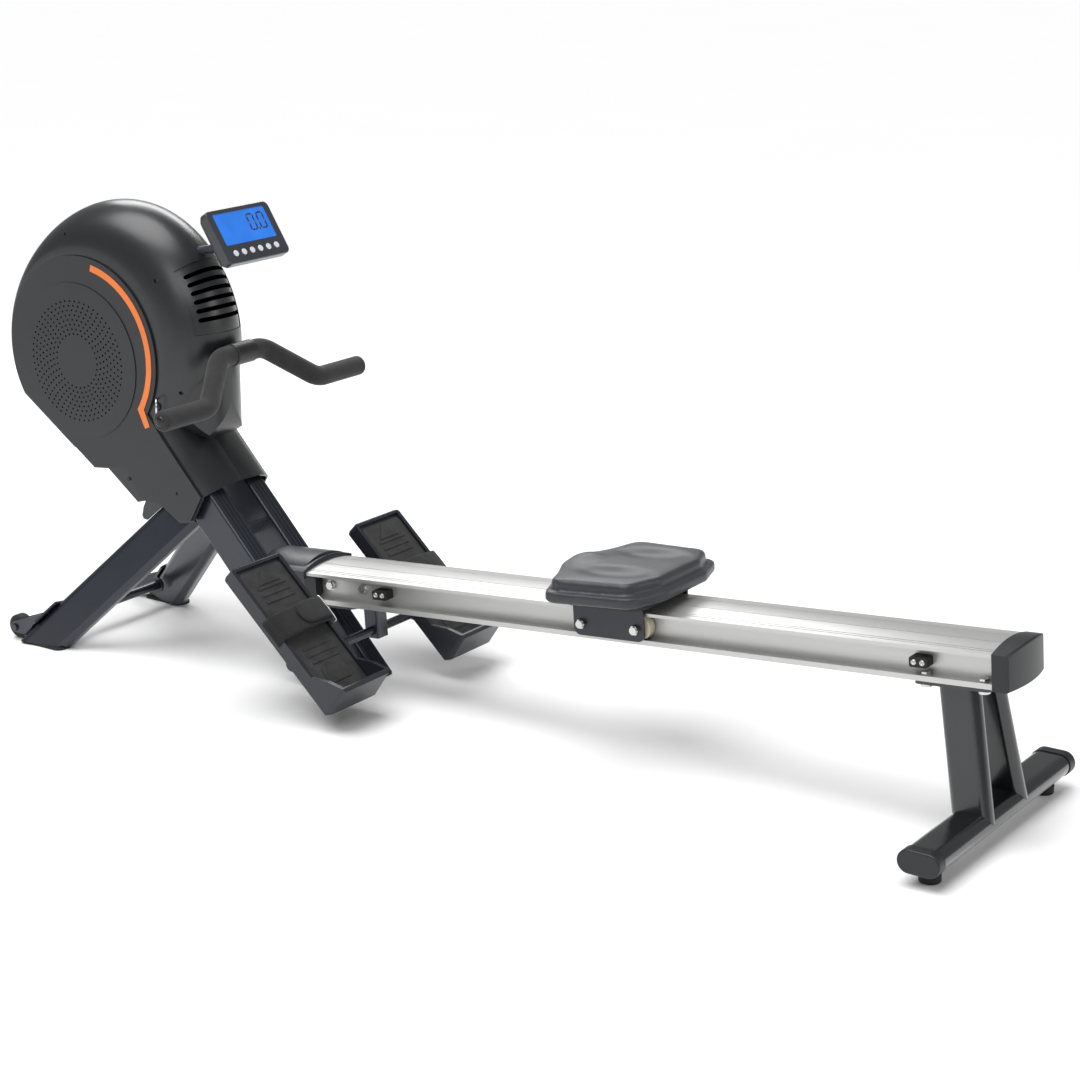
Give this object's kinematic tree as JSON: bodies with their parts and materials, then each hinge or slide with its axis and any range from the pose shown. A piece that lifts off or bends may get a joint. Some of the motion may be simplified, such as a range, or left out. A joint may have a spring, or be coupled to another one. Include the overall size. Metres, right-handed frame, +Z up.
{
  "type": "air rowing machine",
  "caption": "Air rowing machine: fan housing on splayed legs, inclined aluminium rail, rolling seat, tilting foot plates with straps, pull handle and display console.",
  "frame": {"origin": "on the floor, at the middle of the overall length and width", "axes": "+Z up, +X from the fan end to the rear foot, +Y to the right of a user who sits facing the fan, Y = 0 the plane of symmetry"},
  "size_m": [2.0118, 0.542, 0.8304],
  "materials": {
    "rail_silver": "brushed anodised",
    "frame_paint": "dark blue-grey metallic powder coat, semi-gloss",
    "rear_paint": "black metallic powder coat, gloss",
    "black_plastic": "fine grained",
    "housing_plastic": "semi-gloss, fine grain",
    "orange": "satin",
    "fastener": "zinc plated",
    "dark_screw": "black oxide",
    "pad_rubber": "matt",
    "carriage_steel": "satin grey",
    "roller_nylon": "smooth nylon",
    "seat_skin": "matt moulded polyurethane skin",
    "pedal_plastic": "fine grained",
    "mat_rubber": "textured grey-brown rubber",
    "strap_webbing": "woven nylon",
    "inner_steel": "bare steel",
    "handle_tube": "black",
    "foam": "closed-cell foam",
    "console_plastic": "satin dark grey",
    "display": "backlit blue display",
    "button_white": "smooth"
  },
  "bodies": {
    "frame": {"accent_stripes": "orange", "bracket_cover": "black_plastic", "channel_plugs": "black_plastic", "console_arm": "console_plastic", "drive_belt": "strap_webbing", "fan_shafts": "fastener", "flywheel_plates": "inner_steel", "front_foot_pads": "pad_rubber", "front_legs": "frame_paint", "housing_left": "housing_plastic", "housing_right": "housing_plastic", "housing_screws": "dark_screw", "leg_crossbar": "frame_paint", "pedal_hanger": "frame_paint", "post": "frame_paint", "rail": "rail_silver", "rail_bolts": "fastener", "rail_bracket": "frame_paint", "rail_end_cap": "black_plastic", "rail_stops": "black_plastic", "rear_bolts": "fastener", "rear_foot_bar": "rear_paint", "rear_foot_caps": "black_plastic", "rear_foot_pads": "pad_rubber", "rear_legs": "rear_paint", "rear_mount_plate": "rear_paint", "recoil_spring": "inner_steel", "side_cover_left": "black_plastic", "side_cover_right": "black_plastic", "wheel_brackets": "frame_paint"},
    "fan": {"fan_wheel": "inner_steel"},
    "strap_reel": {"strap_drum": "inner_steel"},
    "pull_handle": {"handle_bar": "handle_tube", "handle_grips": "foam", "handle_sleeve": "handle_tube", "pull_strap": "strap_webbing"},
    "carriage": {"carriage_frame": "carriage_steel", "carriage_axles": "fastener", "seat_base": "black_plastic", "seat_pad": "seat_skin"},
    "front_roller_pair": {"rollers_front": "roller_nylon"},
    "rear_roller_pair": {"rollers_rear": "roller_nylon"},
    "foot_plate_left": {"pedal_left": "pedal_plastic", "foot_mat_left": "mat_rubber", "foot_strap_left": "strap_webbing"},
    "foot_plate_right": {"pedal_right": "pedal_plastic", "foot_mat_right": "mat_rubber", "foot_strap_right": "strap_webbing"},
    "console": {"console_case": "console_plastic", "console_screen": "display"},
    "wheel_left": {"transport_wheel_left": "pad_rubber"},
    "wheel_right": {"transport_wheel_right": "pad_rubber"},
    "button_1": {"console_button_1": "button_white"},
    "button_2": {"console_button_2": "button_white"},
    "button_3": {"console_button_3": "button_white"},
    "button_4": {"console_button_4": "button_white"},
    "button_5": {"console_button_5": "button_white"},
    "button_6": {"console_button_6": "button_white"}
  },
  "joints": [
    {"name": "fan_spin", "type": "hinge", "parent": "frame", "child": "fan", "pos_m": [-0.819, 0, 0.548], "axis": [0, 1, 0], "continuous": true},
    {"name": "handle_pull", "type": "slide", "parent": "frame", "child": "pull_handle", "axis": [1, 0, 0], "range_m": [0, 1.15], "stiffness_N_per_m": 20},
    {"name": "strap_reel_turn", "type": "hinge", "parent": "frame", "child": "strap_reel", "pos_m": [-0.618, 0, 0.545], "axis": [0, 1, 0], "range_deg": [0, 2200]},
    {"name": "seat_roll", "type": "slide", "parent": "frame", "child": "carriage", "axis": [0.997, 0, 0.0776], "range_m": [-0.389, 0.456]},
    {"name": "front_rollers_turn", "type": "hinge", "parent": "carriage", "child": "front_roller_pair", "pos_m": [0.25462, 0, 0.22781], "axis": [0, 1, 0], "range_deg": [-1098, 1282]},
    {"name": "rear_rollers_turn", "type": "hinge", "parent": "carriage", "child": "rear_roller_pair", "pos_m": [0.35731, 0, 0.2358], "axis": [0, 1, 0], "range_deg": [-1098, 1282]},
    {"name": "foot_plate_left_tilt", "type": "hinge", "parent": "frame", "child": "foot_plate_left", "pos_m": [-0.22505, -0.1695, 0.10824], "axis": [0, 1, 0], "range_deg": [-30, 15]},
    {"name": "foot_plate_right_tilt", "type": "hinge", "parent": "frame", "child": "foot_plate_right", "pos_m": [-0.22505, 0.1695, 0.10824], "axis": [0, 1, 0], "range_deg": [-30, 15]},
    {"name": "console_tilt", "type": "hinge", "parent": "frame", "child": "console", "pos_m": [-0.52289, 0, 0.76156], "axis": [0, 1, 0], "range_deg": [-15, 15]},
    {"name": "wheel_left_turn", "type": "hinge", "parent": "frame", "child": "wheel_left", "pos_m": [-0.948, -0.16, 0.024], "axis": [0, 1, 0], "continuous": true},
    {"name": "wheel_right_turn", "type": "hinge", "parent": "frame", "child": "wheel_right", "pos_m": [-0.948, 0.16, 0.024], "axis": [0, 1, 0], "continuous": true},
    {"name": "button_1_press", "type": "slide", "parent": "console", "child": "button_1", "axis": [-0.8443, 0, -0.5358], "range_m": [0, 0.0012], "stiffness_N_per_m": 400},
    {"name": "button_2_press", "type": "slide", "parent": "console", "child": "button_2", "axis": [-0.8443, 0, -0.5358], "range_m": [0, 0.0012], "stiffness_N_per_m": 400},
    {"name": "button_3_press", "type": "slide", "parent": "console", "child": "button_3", "axis": [-0.8443, 0, -0.5358], "range_m": [0, 0.0012], "stiffness_N_per_m": 400},
    {"name": "button_4_press", "type": "slide", "parent": "console", "child": "button_4", "axis": [-0.8443, 0, -0.5358], "range_m": [0, 0.0012], "stiffness_N_per_m": 400},
    {"name": "button_5_press", "type": "slide", "parent": "console", "child": "button_5", "axis": [-0.8443, 0, -0.5358], "range_m": [0, 0.0012], "stiffness_N_per_m": 400},
    {"name": "button_6_press", "type": "slide", "parent": "console", "child": "button_6", "axis": [-0.8443, 0, -0.5358], "range_m": [0, 0.0012], "stiffness_N_per_m": 400}
  ],
  "couplings": [
    {"joint": "strap_reel_turn", "follows": "handle_pull", "rad_per_m": 33.333},
    {"joint": "front_rollers_turn", "follows": "seat_roll", "rad_per_m": 48.781},
    {"joint": "rear_rollers_turn", "follows": "seat_roll", "rad_per_m": 48.781}
  ]
}
